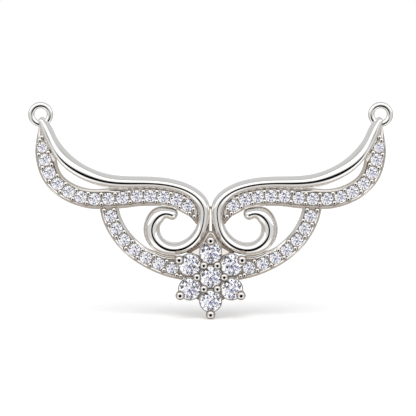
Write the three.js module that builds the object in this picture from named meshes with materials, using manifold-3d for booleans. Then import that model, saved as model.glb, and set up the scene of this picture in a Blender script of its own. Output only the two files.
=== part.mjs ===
// A winged mangalsutra pendant: one white gold casting set with forty-nine round stones.
// Millimetres, +Z up, front towards -Y. The origin lies midway between the centres of the two
// chain loops. The right half is drawn below and the left half is its mirror image in X.
import * as THREE from "three";
import { mergeVertices } from "three/addons/utils/BufferGeometryUtils.js";
import Module from "manifold-3d";

const wasm = await Module();
wasm.setup();

// Depths are measured forwards from the casting's flat back, which lies BACK behind the loops' plane.
const BACK = 0.5;
const PLATE_RIM = 1.5; // front of the pavé plates' raised edges
const PLATE_FLOOR = 1.36; // floor between those edges
const RIM_WIDTH = 0.2;
const SHOULDER = 1.3; // depth where the scroll wire's dome starts
const DOME = 0.9; // height of that dome as a share of the wire's half width
const DOME_STEPS = 6;

const LOOP = { x: 17.85, radius: 1.02, wire: 0.39, sides: 6, steps: 20 };

// The polished scroll wire, from its tip at the loop to the ball at the end of its curl.
const SCROLL = [
  // x, z, half width
  [17.7, -0.6, 0.34],
  [17.35, -1.23, 0.5],
  [16.68, -2.69, 0.56],
  [15.82, -4.02, 0.62],
  [14.55, -5.31, 0.68],
  [12.82, -6.34, 0.68],
  [11.0, -6.95, 0.67],
  [8.65, -7.15, 0.61],
  [6.05, -7.15, 0.55],
  [3.74, -7.48, 0.55],
  [1.89, -8.27, 0.58],
  [0.78, -9.62, 0.65],
  [0.76, -11.08, 0.57],
  [1.2, -12.53, 0.63],
  [2.32, -13.7, 0.65],
  [3.85, -14.1, 0.63],
  [5.3, -13.77, 0.75],
  [6.14, -12.62, 0.85],
  [6.08, -11.36, 0.85],
  [5.37, -10.51, 0.79],
  [4.05, -10.46, 0.6],
].map(([x, z, half]) => ({ x, z, inner: half, outer: half }));

// The wing's pavé plate, from the loop to its point inside the scroll, along the line of its stones.
const WING = [
  // x, z, width towards the scroll wire, width towards the lower edge
  [17.95, -1.25, 0.06, 0.1],
  [17.88, -2.2, 0.3, 0.34],
  [17.65, -3.43, 0.76, 0.74],
  [17.39, -4.72, 1.12, 0.9],
  [16.92, -6.09, 1.09, 0.96],
  [16.07, -7.26, 1.02, 0.98],
  [14.92, -8.09, 1.01, 0.99],
  [13.64, -8.64, 1.05, 0.98],
  [12.21, -8.87, 1.06, 1.04],
  [10.73, -8.85, 1.05, 1.04],
  [9.24, -8.75, 1.02, 1.08],
  [7.76, -8.57, 0.94, 1.07],
  [6.35, -8.56, 0.94, 1.03],
  [4.96, -8.63, 0.93, 1.0],
  [3.62, -8.93, 0.9, 0.98],
  [2.42, -9.55, 0.75, 0.94],
  [1.75, -10.25, 0.5, 0.73],
  [1.38, -11.45, 0.1, 0.18],
].map(([x, z, inner, outer]) => ({ x, z, inner, outer }));

// The lower pavé arc, from under the wing down to the cluster.
const ARC = [
  // x, z, width towards the scroll, width towards the outside
  [10.73, -9.5, 1.0, 0.98],
  [10.48, -10.67, 1.04, 0.97],
  [9.9, -11.98, 1.0, 0.96],
  [9.09, -13.19, 1.0, 0.95],
  [8.02, -14.21, 0.98, 0.97],
  [6.83, -15.04, 1.03, 0.95],
  [5.48, -15.67, 1.18, 1.0],
  [4.05, -16.13, 1.28, 1.05],
  [2.7, -16.4, 1.1, 1.06],
].map(([x, z, inner, outer]) => ({ x, z, inner, outer }));

// Rows of small stones, one on each row of the table from start on: their count and radii.
const WING_ROW = { start: 2, count: 14, radius: 0.63, firstRadius: 0.54, lastRadius: 0.6 };
const ARC_ROW = { start: 1, count: 7, radius: 0.63, firstRadius: 0.63, lastRadius: 0.63 };
const ROW_GIRDLE = 1.42;
const GRAIN = { radius: 0.19, side: 0.48, depth: 1.4 };

const END_GRAINS = [
  // x, z
  [17.85, -2.6],
  [1.8, -9.95],
  [1.72, -10.7],
  [11.2, -10.05],
  [10.15, -10.0],
  [3.4, -15.75],
  [3.55, -16.8],
];

// Seven larger stones in a hexagon, with a point up.
const CLUSTER = { z: -16.98, pitch: 2.55, radius: 1.13, girdle: 2.3 };
const CUP = { foot: 0.75, lip: 1.27, depth: 2.25, bore: 0.45, sides: 12 };
const WEB = { reach: 2.75, back: 0.5, depth: 1.85 };
const INNER_PRONG = { reach: 1.43, radius: 0.38, tip: 2.5 };
const OUTER_PRONG = { radius: 0.47, tip: 2.5 };
const OUTER_PRONGS = [
  // x, z
  [0, -13.13],
  [3.31, -15.16],
  [-3.31, -15.16],
  [3.21, -18.92],
  [-3.21, -18.92],
  [0, -20.95],
];
const PRONG_SIDES = 8;
const PRONG_FOOT = 0.2;
const GALLERY = {
  depth: 1.3,
  half: [
    // x, z, down the right half
    [0, -12.1],
    [0.62, -12.95],
    [1.15, -13.65],
    [2.05, -14.25],
    [2.6, -14.9],
    [2.6, -16.5],
  ],
};
const BRIDGE = { half: 0.3, top: -9.8, foot: -12.6, depth: 1.35 };

const SEAT_GAP = 0.04;
const MERGE = 1e-5;

// A round brilliant's proportions, as shares of its radius.
const TABLE = 0.56;
const TABLE_HEIGHT = 0.32;
const STAR_RADIUS = 0.79;
const STAR_HEIGHT = 0.2;
const GIRDLE_HALF = 0.025;
const PAVILION = 0.86;
const EIGHTHS = 8;

const gold = new THREE.MeshStandardMaterial({ color: 0xd9d5ce, roughness: 0.12, metalness: 1 });
const diamond = new THREE.MeshStandardMaterial({ color: 0xe9eaf6, roughness: 0.03, metalness: 0 });

const place = (x, depth, z) => new THREE.Vector3(x, BACK - depth, z);

// A closed geometry as a solid that can be joined and cut, with its faces turned outwards.
function solid(geometry) {
  const bare = new THREE.BufferGeometry().setAttribute("position", geometry.getAttribute("position"));
  bare.setIndex(geometry.index);
  const merged = mergeVertices(bare, MERGE);
  const corners = merged.index.array;
  const triVerts = [];
  for (let i = 0; i < corners.length; i += 3) {
    const [a, b, c] = [corners[i], corners[i + 1], corners[i + 2]];
    if (a !== b && b !== c && c !== a) triVerts.push(a, b, c);
  }
  const make = (faces) =>
    new wasm.Manifold(
      new wasm.Mesh({
        numProp: 3,
        vertProperties: new Float32Array(merged.getAttribute("position").array),
        triVerts: new Uint32Array(faces),
      }),
    );
  const made = make(triVerts);
  return made.volume() > 0 ? made : make(triVerts.reverse());
}

// The geometry of a finished solid.
function geometryOf(body) {
  const mesh = body.getMesh();
  return new THREE.BufferGeometry()
    .setAttribute("position", new THREE.BufferAttribute(mesh.vertProperties, 3))
    .setIndex(new THREE.BufferAttribute(mesh.triVerts, 1));
}

// Points, widths and directions at equal steps along a table's smooth line.
function followed(rows, steps) {
  const line = new THREE.SplineCurve(rows.map((row) => new THREE.Vector2(row.x, row.z)));
  const widths = new THREE.SplineCurve(rows.map((row) => new THREE.Vector2(row.inner, row.outer)));
  return Array.from({ length: steps + 1 }, (_, i) => {
    const u = line.getUtoTmapping(i / steps);
    const point = line.getPoint(u);
    const along = line.getTangent(u);
    const width = widths.getPoint(u);
    return { point, along, inner: width.x, outer: width.y };
  });
}

// A closed skin through cross-sections that share one outline of points (side, depth).
function loft(stations, outlineOf, mirror) {
  const outlines = stations.map(outlineOf);
  const ring = outlines[0].length;
  const positions = stations.flatMap(({ point, along }, i) =>
    outlines[i].flatMap(([side, depth]) =>
      place(mirror * (point.x - along.y * side), depth, point.y + along.x * side).toArray(),
    ),
  );
  const index = [];
  for (let i = 0; i + 1 < stations.length; i++) {
    for (let j = 0; j < ring; j++) {
      const [a, b] = [i * ring + j, i * ring + ((j + 1) % ring)];
      index.push(a, b, a + ring, b, b + ring, a + ring);
    }
  }
  const flat = (outline) => outline.map(([side, depth]) => new THREE.Vector2(side, depth));
  const cap = (outline) => THREE.ShapeUtils.triangulateShape(flat(outline), []);
  const last = (stations.length - 1) * ring;
  cap(outlines[0]).forEach(([a, b, c]) => index.push(a, c, b));
  cap(outlines.at(-1)).forEach(([a, b, c]) => index.push(last + a, last + b, last + c));
  return new THREE.BufferGeometry()
    .setAttribute("position", new THREE.Float32BufferAttribute(positions, 3))
    .setIndex(index);
}

// A wire's cross-section: straight walls from the flat back, under a rounded dome.
function wireSection({ inner }) {
  const dome = Array.from({ length: DOME_STEPS + 1 }, (_, i) => {
    const turn = (Math.PI * i) / DOME_STEPS;
    return [inner * Math.cos(turn), SHOULDER + DOME * inner * Math.sin(turn)];
  });
  return [[-inner, 0], [inner, 0], ...dome];
}

// A pavé plate's cross-section: a flat back and a floor between two raised rims.
function plateSection({ inner, outer }) {
  const lip = Math.min(RIM_WIDTH, 0.4 * Math.min(inner, outer));
  return [
    [-inner, 0],
    [outer, 0],
    [outer, PLATE_RIM],
    [outer - lip, PLATE_RIM],
    [outer - lip, PLATE_FLOOR],
    [lip - inner, PLATE_FLOOR],
    [lip - inner, PLATE_RIM],
    [-inner, PLATE_RIM],
  ];
}

// Stations that round off a wire's end: the width falls away as a quarter circle.
function roundEnd(station, forwards, steps = 3) {
  const radius = station.inner;
  return Array.from({ length: steps }, (_, i) => {
    const turn = (0.46 * Math.PI * (i + 1)) / steps;
    const reach = forwards * radius * Math.sin(turn);
    const half = radius * Math.cos(turn);
    return {
      point: station.point.clone().addScaledVector(station.along, reach),
      along: station.along,
      inner: half,
      outer: half,
    };
  });
}

function scrollWire(mirror) {
  const run = followed(SCROLL, 44);
  const stations = [...roundEnd(run[0], -1).reverse(), ...run, ...roundEnd(run.at(-1), 1)];
  return solid(loft(stations, wireSection, mirror));
}

const pavePlate = (rows, steps, mirror) => solid(loft(followed(rows, steps), plateSection, mirror));

function chainLoop(mirror) {
  const ring = new THREE.TorusGeometry(LOOP.radius, LOOP.wire, LOOP.sides, LOOP.steps);
  return solid(ring.rotateX(Math.PI / 2).translate(mirror * LOOP.x, 0, 0));
}

// Places on the table's rows from start on, or a share of the way to the next row, with the direction there.
function rowPlaces(rows, { start, count }, share = 0) {
  const line = new THREE.SplineCurve(rows.map((row) => new THREE.Vector2(row.x, row.z)));
  return Array.from({ length: count }, (_, i) => {
    const at = (start + i + share) / (rows.length - 1);
    return { point: line.getPoint(at), along: line.getTangent(at) };
  });
}

// Grains stand in pairs between the stones, one on each side of the row, and singly at the wing's ends.
function grainPlaces(rows, { start, count }) {
  return rowPlaces(rows, { start, count: count - 1 }, 0.5).flatMap(({ point, along }) =>
    [-1, 1].map((hand) => [point.x - along.y * hand * GRAIN.side, point.y + along.x * hand * GRAIN.side]),
  );
}

function grains(mirror) {
  const spots = [...grainPlaces(WING, WING_ROW), ...grainPlaces(ARC, ARC_ROW), ...END_GRAINS];
  return spots.map(([x, z]) => {
    const spot = place(mirror * x, GRAIN.depth, z);
    return solid(new THREE.SphereGeometry(GRAIN.radius, 6, 4).translate(spot.x, spot.y, spot.z));
  });
}

// A round brilliant with its girdle at the origin and its table towards +Y.
function brilliant(radius) {
  const ring = (count, share, height, turn) =>
    Array.from({ length: count }, (_, i) => {
      const angle = (2 * Math.PI * (i + turn)) / count;
      return [radius * share * Math.cos(angle), radius * height, radius * share * Math.sin(angle)];
    });
  const table = ring(EIGHTHS, TABLE, TABLE_HEIGHT, 0);
  const star = ring(EIGHTHS, STAR_RADIUS, STAR_HEIGHT, 0.5);
  const girdleTop = ring(2 * EIGHTHS, 1, GIRDLE_HALF, 0);
  const girdleFoot = ring(2 * EIGHTHS, 1, -GIRDLE_HALF, 0);
  const culet = [0, -radius * PAVILION, 0];
  const facets = [];
  for (let i = 0; i < EIGHTHS; i++) {
    const [next, edge] = [(i + 1) % EIGHTHS, 2 * i];
    const after = (edge + 2) % (2 * EIGHTHS);
    if (next > 1) facets.push([table[0], table[next], table[i]]);
    facets.push([table[i], table[next], star[i]]);
    facets.push([table[i], star[i], girdleTop[edge]]);
    facets.push([table[next], girdleTop[after], star[i]]);
    facets.push([star[i], girdleTop[edge + 1], girdleTop[edge]]);
    facets.push([star[i], girdleTop[after], girdleTop[edge + 1]]);
    for (const [a, b] of [[edge, edge + 1], [edge + 1, after]]) {
      facets.push([girdleTop[a], girdleTop[b], girdleFoot[b]]);
      facets.push([girdleTop[a], girdleFoot[b], girdleFoot[a]]);
      facets.push([girdleFoot[a], girdleFoot[b], culet]);
    }
  }
  const whole = new THREE.BufferGeometry();
  whole.setAttribute("position", new THREE.Float32BufferAttribute(facets.flat(2), 3));
  return whole;
}

// A plain eight-sided cut for the smallest stones: table, crown, girdle and pavilion.
function singleCut(radius) {
  const profile = [
    [0, -PAVILION],
    [1, -GIRDLE_HALF],
    [1, GIRDLE_HALF],
    [TABLE, TABLE_HEIGHT],
    [0, TABLE_HEIGHT],
  ].map(([r, h]) => new THREE.Vector2(r * radius, h * radius));
  return new THREE.LatheGeometry(profile, EIGHTHS);
}

function rowRadius({ count, radius, firstRadius, lastRadius }, i) {
  if (i === 0) return firstRadius;
  return i === count - 1 ? lastRadius : radius;
}

// Every stone: its node name, cut, radius and the place and turn of its girdle.
function stoneList() {
  const list = [];
  for (const [side, mirror] of [["right", 1], ["left", -1]]) {
    for (const [name, rows, row] of [["wing", WING, WING_ROW], ["arc", ARC, ARC_ROW]]) {
      rowPlaces(rows, row).forEach(({ point, along }, i) =>
        list.push({
          name: `${name}_stone_${side}_${String(i + 1).padStart(2, "0")}`,
          cut: singleCut,
          radius: rowRadius(row, i),
          at: place(mirror * point.x, ROW_GIRDLE, point.y),
          turn: mirror * Math.atan2(along.y, along.x),
        }),
      );
    }
  }
  for (let i = 0; i <= 6; i++) {
    const angle = Math.PI / 2 + (i * Math.PI) / 3;
    const reach = i < 6 ? CLUSTER.pitch : 0;
    list.push({
      name: i < 6 ? `cluster_stone_${i + 1}` : "cluster_stone_centre",
      cut: brilliant,
      radius: CLUSTER.radius,
      at: place(reach * Math.cos(angle), CLUSTER.girdle, CLUSTER.z + reach * Math.sin(angle)),
      turn: 0,
    });
  }
  return list;
}

function placed(object, { at, turn }) {
  object.position.copy(at);
  object.rotation.set(Math.PI, turn, 0);
  object.updateMatrix();
  return object;
}

// A stone's own shape, grown by the seat's clearance, cuts its seat and the notches in its prongs.
function seat(stone) {
  const grown = placed(new THREE.Mesh(stone.cut(stone.radius + SEAT_GAP)), stone);
  return solid(grown.geometry.applyMatrix4(grown.matrix));
}

// A solid of revolution standing on the back, from (radius, depth) points.
function turned(points, sides, x, z) {
  const profile = points.map(([r, depth]) => new THREE.Vector2(r, -depth));
  return solid(new THREE.LatheGeometry(profile, sides).translate(x, BACK, z));
}

function prong(x, z, { radius, tip }) {
  const round = [1 / 3, 2 / 3].map((share) => {
    const turn = (share * Math.PI) / 2;
    return [radius * Math.cos(turn), tip + radius * Math.sin(turn)];
  });
  const foot = [[0, PRONG_FOOT], [0.8 * radius, PRONG_FOOT]];
  return turned([...foot, [radius, tip], ...round, [0, tip + radius]], PRONG_SIDES, x, z);
}

const hexagon = (reach, start) =>
  Array.from({ length: 6 }, (_, i) => {
    const angle = start + (i * Math.PI) / 3;
    return [reach * Math.cos(angle), CLUSTER.z + reach * Math.sin(angle)];
  });

const cupPlaces = [[0, CLUSTER.z], ...hexagon(CLUSTER.pitch, Math.PI / 2)];

// A plate with an outline of (x, z) points, between two depths.
function flatPlate(outline, from, to) {
  const shape = new THREE.Shape(outline.map(([x, z]) => new THREE.Vector2(x, z)));
  const plate = new THREE.ExtrudeGeometry(shape, { depth: to - from, bevelEnabled: false });
  return solid(plate.rotateX(Math.PI / 2).translate(0, BACK - from, 0));
}

// The cluster's setting: a cup under each stone, prongs, the web between them and the gallery plate above.
function clusterSetting() {
  const { foot, lip, depth, sides } = CUP;
  const mirrored = GALLERY.half.slice(1).reverse().map(([x, z]) => [-x, z]);
  return [
    ...cupPlaces.map(([x, z]) => turned([[0, 0], [foot, 0], [lip, depth], [0, depth]], sides, x, z)),
    ...hexagon(INNER_PRONG.reach, 0).map(([x, z]) => prong(x, z, INNER_PRONG)),
    ...OUTER_PRONGS.map(([x, z]) => prong(x, z, OUTER_PRONG)),
    flatPlate([...GALLERY.half, ...mirrored], 0, GALLERY.depth),
    flatPlate(hexagon(WEB.reach, Math.PI / 2), WEB.back, WEB.depth),
  ];
}

// The strip that joins the two scroll wires along the middle.
function bridge() {
  const { half, top, foot, depth } = BRIDGE;
  const strip = new THREE.BoxGeometry(2 * half, depth, top - foot);
  return solid(strip.translate(0, BACK - depth / 2, (top + foot) / 2));
}

function castFrame(stones) {
  const halves = [1, -1].flatMap((mirror) => [
    scrollWire(mirror),
    pavePlate(WING, 34, mirror),
    pavePlate(ARC, 18, mirror),
    chainLoop(mirror),
    ...grains(mirror),
  ]);
  const joined = wasm.Manifold.union([...halves, bridge(), ...clusterSetting()]);
  const bores = cupPlaces.map(([x, z]) =>
    turned([[0, -0.1], [CUP.bore, -0.1], [CUP.bore, CLUSTER.girdle], [0, CLUSTER.girdle]], EIGHTHS, x, z),
  );
  return joined.subtract(wasm.Manifold.union([...bores, ...stones.map(seat)]));
}

const stones = stoneList();
const pendant = new THREE.Group();
const frame = new THREE.Mesh(geometryOf(castFrame(stones)), gold);
frame.name = "cast_frame";
pendant.add(frame);
for (const stone of stones) {
  const mesh = placed(new THREE.Mesh(stone.cut(stone.radius), diamond), stone);
  mesh.name = stone.name;
  pendant.add(mesh);
}

export default pendant;
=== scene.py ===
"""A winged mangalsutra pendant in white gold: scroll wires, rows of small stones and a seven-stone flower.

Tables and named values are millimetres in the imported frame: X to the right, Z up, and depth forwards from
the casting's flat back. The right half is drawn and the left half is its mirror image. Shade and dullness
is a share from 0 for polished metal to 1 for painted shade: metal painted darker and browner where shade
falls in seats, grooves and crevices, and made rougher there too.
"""

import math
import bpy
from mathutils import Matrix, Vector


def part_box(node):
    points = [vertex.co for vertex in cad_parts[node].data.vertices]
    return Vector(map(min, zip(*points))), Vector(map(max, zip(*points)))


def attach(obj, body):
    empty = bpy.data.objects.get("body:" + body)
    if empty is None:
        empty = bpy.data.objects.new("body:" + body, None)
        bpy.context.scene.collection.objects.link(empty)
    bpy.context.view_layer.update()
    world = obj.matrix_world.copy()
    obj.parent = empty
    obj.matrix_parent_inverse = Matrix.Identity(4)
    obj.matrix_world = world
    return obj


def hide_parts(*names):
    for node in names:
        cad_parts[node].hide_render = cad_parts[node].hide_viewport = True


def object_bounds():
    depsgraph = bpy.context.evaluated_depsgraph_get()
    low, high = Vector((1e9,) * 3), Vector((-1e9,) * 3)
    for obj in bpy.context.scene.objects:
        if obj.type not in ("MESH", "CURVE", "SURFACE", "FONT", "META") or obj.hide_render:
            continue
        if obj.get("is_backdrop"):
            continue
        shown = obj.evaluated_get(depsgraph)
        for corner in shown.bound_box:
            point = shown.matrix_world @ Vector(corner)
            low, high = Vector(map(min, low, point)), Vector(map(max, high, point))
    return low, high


bl_info = {
    "name": "Winged Mangalsutra Pendant",
    "version": (1, 0, 0),
    "blender": (4, 5, 0),
    "location": "3D View > Sidebar > Pendant",
    "description": "Dresses the packed pendant with polished scrolls, set rows of stones and a stone flower",
    "category": "Add Mesh",
}

import bmesh
import bpy
import numpy as np

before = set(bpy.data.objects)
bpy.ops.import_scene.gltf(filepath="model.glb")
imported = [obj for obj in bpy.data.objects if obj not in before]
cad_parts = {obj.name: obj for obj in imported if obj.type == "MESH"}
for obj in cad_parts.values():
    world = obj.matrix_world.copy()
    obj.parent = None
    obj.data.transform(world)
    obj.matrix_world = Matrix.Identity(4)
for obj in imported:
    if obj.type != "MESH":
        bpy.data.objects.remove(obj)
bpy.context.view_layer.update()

MM = 0.001
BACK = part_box("cast_frame")[1][1] / MM
SIDES = {"right": 1, "left": -1}
STONE_ROWS = {"wing": 14, "arc": 7}
FLOWER_NODES = [f"cluster_stone_{i}" for i in range(1, 7)] + ["cluster_stone_centre"]

# Depths of the girdles, the turn of every stone, and the shares of size of a wing's two end stones.
GIRDLE = {"row": 1.42, "flower": 2.3}
STONE_TURN = math.pi / 8
END_STONES = (0.84, 0.94)

# The power of a sine that makes a circle squarish.
ROUND = 2 / 2.6

# The scroll wire from its tip at the loop to the ball at the end of its curl: x, z, half width, lean of its
# dome, share of the dome's full height.
SCROLL = np.array([
    (17.70, -0.60, 0.34, 0.20, 1.00),
    (17.35, -1.23, 0.50, 0.25, 1.00),
    (16.68, -2.69, 0.56, 0.25, 1.00),
    (15.82, -4.02, 0.62, 0.31, 0.84),
    (14.55, -5.31, 0.68, 0.14, 0.68),
    (12.82, -6.34, 0.68, 0.01, 0.66),
    (11.00, -6.95, 0.67, -0.06, 0.88),
    (8.65, -7.15, 0.61, -0.06, 0.96),
    (6.05, -7.15, 0.55, 0.00, 1.00),
    (3.74, -7.48, 0.55, 0.00, 1.00),
    (1.89, -8.27, 0.58, 0.00, 1.00),
    (0.78, -9.62, 0.65, 0.00, 1.00),
    (0.76, -11.08, 0.57, 0.00, 1.00),
    (1.20, -12.53, 0.63, 0.00, 1.00),
    (2.32, -13.70, 0.62, 0.00, 0.84),
    (3.85, -14.15, 0.61, 0.00, 0.80),
    (5.30, -13.76, 0.73, 0.08, 0.86),
    (6.14, -12.62, 0.85, 0.06, 1.00),
    (6.08, -11.36, 0.85, 0.04, 1.00),
    (5.37, -10.51, 0.79, 0.03, 1.00),
    (4.62, -10.32, 0.57, 0.00, 1.00),
    (4.05, -10.46, 0.60, 0.00, 1.00),
])
WIRE_STATIONS = 420
WIRE_END_STEPS = 13
WIRE_END_TURN = 0.5 * np.pi * 0.985

# The wire's wall and chamfered foot, from the dome to the back: share of the half width, depth.
WIRE_FOOT = np.array([(1, 0.6), (1, 0.08), (0.97, 0.03), (0.92, 0)])

# The wing plate, with a stone on each row from the third to the last but two: x, z, width towards the scroll
# wire, width towards the lower edge.
WING = np.array([
    (17.95, -1.25, 0.06, 0.10),
    (17.88, -2.20, 0.30, 0.34),
    (17.65, -3.43, 0.76, 0.74),
    (17.39, -4.72, 1.12, 0.90),
    (16.92, -6.09, 1.03, 0.96),
    (16.07, -7.26, 0.93, 0.98),
    (14.92, -8.09, 0.92, 0.99),
    (13.64, -8.64, 0.96, 0.98),
    (12.21, -8.87, 0.99, 1.04),
    (10.73, -8.85, 1.05, 1.04),
    (9.24, -8.75, 1.02, 1.08),
    (7.76, -8.57, 0.94, 1.07),
    (6.35, -8.56, 0.94, 1.03),
    (4.96, -8.63, 0.93, 1.00),
    (3.62, -8.93, 0.90, 0.98),
    (2.42, -9.55, 0.75, 0.94),
    (1.75, -10.25, 0.50, 0.73),
    (1.38, -11.45, 0.10, 0.18),
])

# The lower arc, with a stone on each row but the first and last: x, z, width towards the scroll, width
# towards the outside.
ARC = np.array([
    (10.73, -9.50, 1.00, 0.98),
    (10.48, -10.67, 0.96, 0.97),
    (9.90, -11.98, 0.91, 0.96),
    (9.09, -13.19, 0.91, 0.95),
    (8.02, -14.21, 0.87, 0.97),
    (6.83, -15.04, 0.90, 0.95),
    (5.48, -15.67, 1.18, 1.00),
    (4.05, -16.13, 1.28, 1.05),
    (2.70, -16.40, 1.10, 1.06),
])

# The two kinds of plate: name, table, stations along it, how far its front is sunk.
PLATES = (
    ("wing", WING, 560, 0.0),
    ("arc", ARC, 290, 0.03),
)

# The bevelled side of a plate, towards the scroll: distance in from the edge, drop below the rim, painted
# shade.
BEVEL = np.array([
    (0.00, 0.28, 0.5),
    (0.02, 0.23, 0.4),
    (0.03, 0.22, 0.08),
    (0.24, 0.03, 0.08),
    (0.26, 0.03, 0.3),
    (0.29, 0.08, 0.8),
    (0.36, 0.14, 0.85),
])

# The outer side of a plate in the same columns: a chamfered land, a groove and a bright-cut slope, with
# painted shade at the outer edge and in the groove.
BEAD = np.array([
    (0.00, 0.16, 0.9),
    (0.02, 0.10, 0.6),
    (0.04, 0.09, 0.3),
    (0.15, 0.02, 0.3),
    (0.17, 0.06, 1.0),
    (0.20, 0.06, 0.6),
    (0.22, 0.05, 0.2),
    (0.33, 0.10, 0.2),
    (0.36, 0.14, 0.85),
])

# Further lines along the rims, the number of lines on the floor, the least width to a side, and the whole
# width under which the rims narrow.
RIM_LINES = (0.007, 0.035, 0.07, 0.11, 0.27)
FLOOR_LINES = 26
LEAST_WIDTH = 0.03
FULL_WIDTH = 1.5

# The gap left beside the scroll wire, the share of the bevel's steepness there, and the painted shade in the
# gap.
CREVICE = {"gap": 0.08, "steepness": 0.75, "recess": 0.55}

# A seat: slope of its cone, drop under the girdle, least depth, and the ring of painted shade round it: its
# reach, the width of its fade and its strength.
SEAT = {"slope": 0.86, "drop": 0.03, "least": 0.5, "ring": 0.07, "edge": 0.05, "recess": 0.4}

# A plate's back: depth, and width and height of its chamfer.
PLATE_BACK = {"depth": 0.015, "chamfer": 0.08}

# The wing tip: height from which its front falls back, slope of the fall, and share of painted shade taken
# away.
WING_TIP = {"start": -3.6, "slope": 0.2, "shade_cut": 0.55}

# Single grains at the ends of the rows: x, z.
END_GRAINS = np.array([
    (17.70, -2.36),
    (17.90, -2.68),
    (1.80, -9.95),
    (2.20, -10.35),
    (1.72, -10.70),
    (11.20, -10.05),
    (10.15, -10.00),
    (3.40, -15.75),
    (3.56, -16.88),
    (3.12, -17.00),
])

# A grain's depth, and its height as a share of its radius.
GRAIN = {"depth": 1.5, "height": 0.45}

# A cup under a flower stone, once round its section: radius, depth, painted shade, deepest inside the cup.
CUP = np.array([
    (0.5, 0, 0.4),
    (0.72, 0, 0.4),
    (0.78, 0.05, 0.4),
    (1.2, 2.1, 0.3),
    (1.225, 2.22, 0.3),
    (1.215, 2.27, 0.2),
    (1.19, 2.28, 0.2),
    (1.145, 2.27, 0.5),
    (0.5, 1.55, 1),
    (0.45, 1.4, 1),
    (0.45, 0.05, 1),
])

# The prongs round the flower, top to bottom: x, z.
OUTER_PRONGS = np.array([
    (0, -13.13),
    (3.31, -15.16),
    (-3.31, -15.16),
    (3.21, -18.92),
    (-3.21, -18.92),
    (0, -20.95),
])

# A prong: depths of its foot and of its ball's middle, neck and ball height as shares of the radius, slopes
# by which the outer ones lean in and every tip nods, and painted shade at the foot and at the ball's edge.
PRONG = {"foot": 0.2, "ball": 2.5, "neck": 0.74, "height": 0.78, "lean": 0.12, "nod": 0.07,
         "foot_shade_and_dullness": 0.3, "edge_shade_and_dullness": 0.8}

# The right half of the outline of the web behind the flower, top to bottom: x, z.
WEB = np.array([
    (0.00, -11.40),
    (0.42, -11.75),
    (0.72, -12.40),
    (1.10, -13.05),
    (1.60, -13.65),
    (2.20, -14.15),
    (2.60, -14.90),
    (2.62, -16.10),
    (2.45, -18.40),
    (0.00, -19.80),
])

# The web's edge, from its front to the middle of its back: share of the outline, depth.
WEB_EDGE = np.array([(0.997, 1.735), (1, 1.7), (1, 0.08), (0.99, 0.03), (0.002, 0.03)])

# The web's front with its fall above the flower, where painted shade is less, and its holes under the
# stones.
WEB_FRONT = {"depth": 1.75, "fall": 0.6, "fall_z": -14.9, "shade_cut": 0.3, "shade_cut_z": -14.6, "ease": 0.4}
WEB_HOLE = {"radius": 1.16, "depth": 0.7}
WEB_RINGS = 120
WEB_COLUMNS = 240

# The ridge that arches over the flower's top prong: x, z, half width.
ARCH = np.array([
    (-0.88, -13.80, 0.07),
    (-0.68, -13.35, 0.08),
    (-0.41, -12.82, 0.09),
    (0.00, -12.42, 0.10),
    (0.41, -12.82, 0.09),
    (0.68, -13.35, 0.08),
    (0.88, -13.80, 0.07),
])
ARCH_STATIONS = 60
ARCH_DEPTH = {"shoulder": 1.45, "back": 0.7}

# Angles across the arch and across the strip.
RIDGE = np.linspace(0, np.pi, 13)

# The strip between the scroll wires: values at its top and foot, and its bulge and back.
STRIP = {"z": (-9.72, -12.2), "half": (0.13, 0.24), "shoulder": (0.95, 1.5), "bulge": 0.12, "back": 0.06}
STRIP_STATIONS = 40

# A corner plate between the scroll wire and the flower's two upper stones: x, z.
CORNER = np.array([(1.12, -13.86), (1.12, -14.90), (2.12, -14.46)])

# The corner plate's rings, from face to back: share of its outline, drop, painted shade, darkest round the
# edge.
CORNER_RINGS = np.array([(0.78, 0, 0.5), (1, 0.06, 1), (1, 0.8, 1)])
CORNER_FACE = {"depth": 1.72, "z": -14.5, "slope": -0.25}

# A chain loop's middle, and the depth of its wire as a share of the width.
LOOP = {"x": 17.85, "depth": 0.75}

# Distances under which points merge and slivers vanish, in metres.
MERGE = 2e-7
SLIVER = 1e-7

# The floor: reach and gap under the pendant in metres, lines to a side, and glow.
FLOOR = {"reach": 4.0, "lines": 9, "gap": 0.00002, "glow": 0.315}

# The camera's rise over the level, distance, point looked at and width seen.
CAMERA = {"rise": math.radians(5.0), "distance": 250.0, "aim": (-0.275, -0.9, -9.8), "across": 43.68}
SENSOR = 36.0

# The key light's strength, the angle that it fills and its tilt.
KEY = {"energy": 1.5, "angle": math.radians(50), "tilt": math.radians(35)}

# Colours of the parts of the studio that polished metal mirrors.
STUDIO = {
    "far_floor": (0.36, 0.32, 0.28, 1),
    "floor": (0.56, 0.52, 0.48, 1),
    "wall": (0.50, 0.49, 0.48, 1),
    "roof": (0.64, 0.655, 0.675, 1),
    "front": (0.74, 0.755, 0.77, 1),
    "low_panel": (0.86, 0.875, 0.89, 1),
    "low_panel_sides": (1.08, 1.1, 1.12, 1),
    "panel_frame": (0.52, 0.51, 0.49, 1),
    "panel": (1.35, 1.38, 1.42, 1),
    "camera_spot": (0.004, 0.004, 0.004, 1),
}

# The broken panels that the stones see: start of each band of chance, colour.
SPARKLE = [
    (0.00, (0.02, 0.02, 0.03, 1)),
    (0.25, (0.32, 0.33, 0.48, 1)),
    (0.36, (0.42, 0.42, 0.46, 1)),
    (0.55, (1.0, 1.0, 1.0, 1)),
    (0.975, (1.0, 0.88, 0.74, 1)),
]
SPARKLE_SHIFT = 0.045
SPARKLE_STRENGTH = 1.41

# What the settings for colours have in common.
COLOUR = {"size": 3, "min": 0.0, "max": 1.0, "subtype": "COLOR"}


def length(name, description, size):
    """A setting for a length, with its first value in millimetres."""
    return bpy.props.FloatProperty(
        name=name, description=description, default=size * MM, unit="LENGTH", precision=5)


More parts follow.
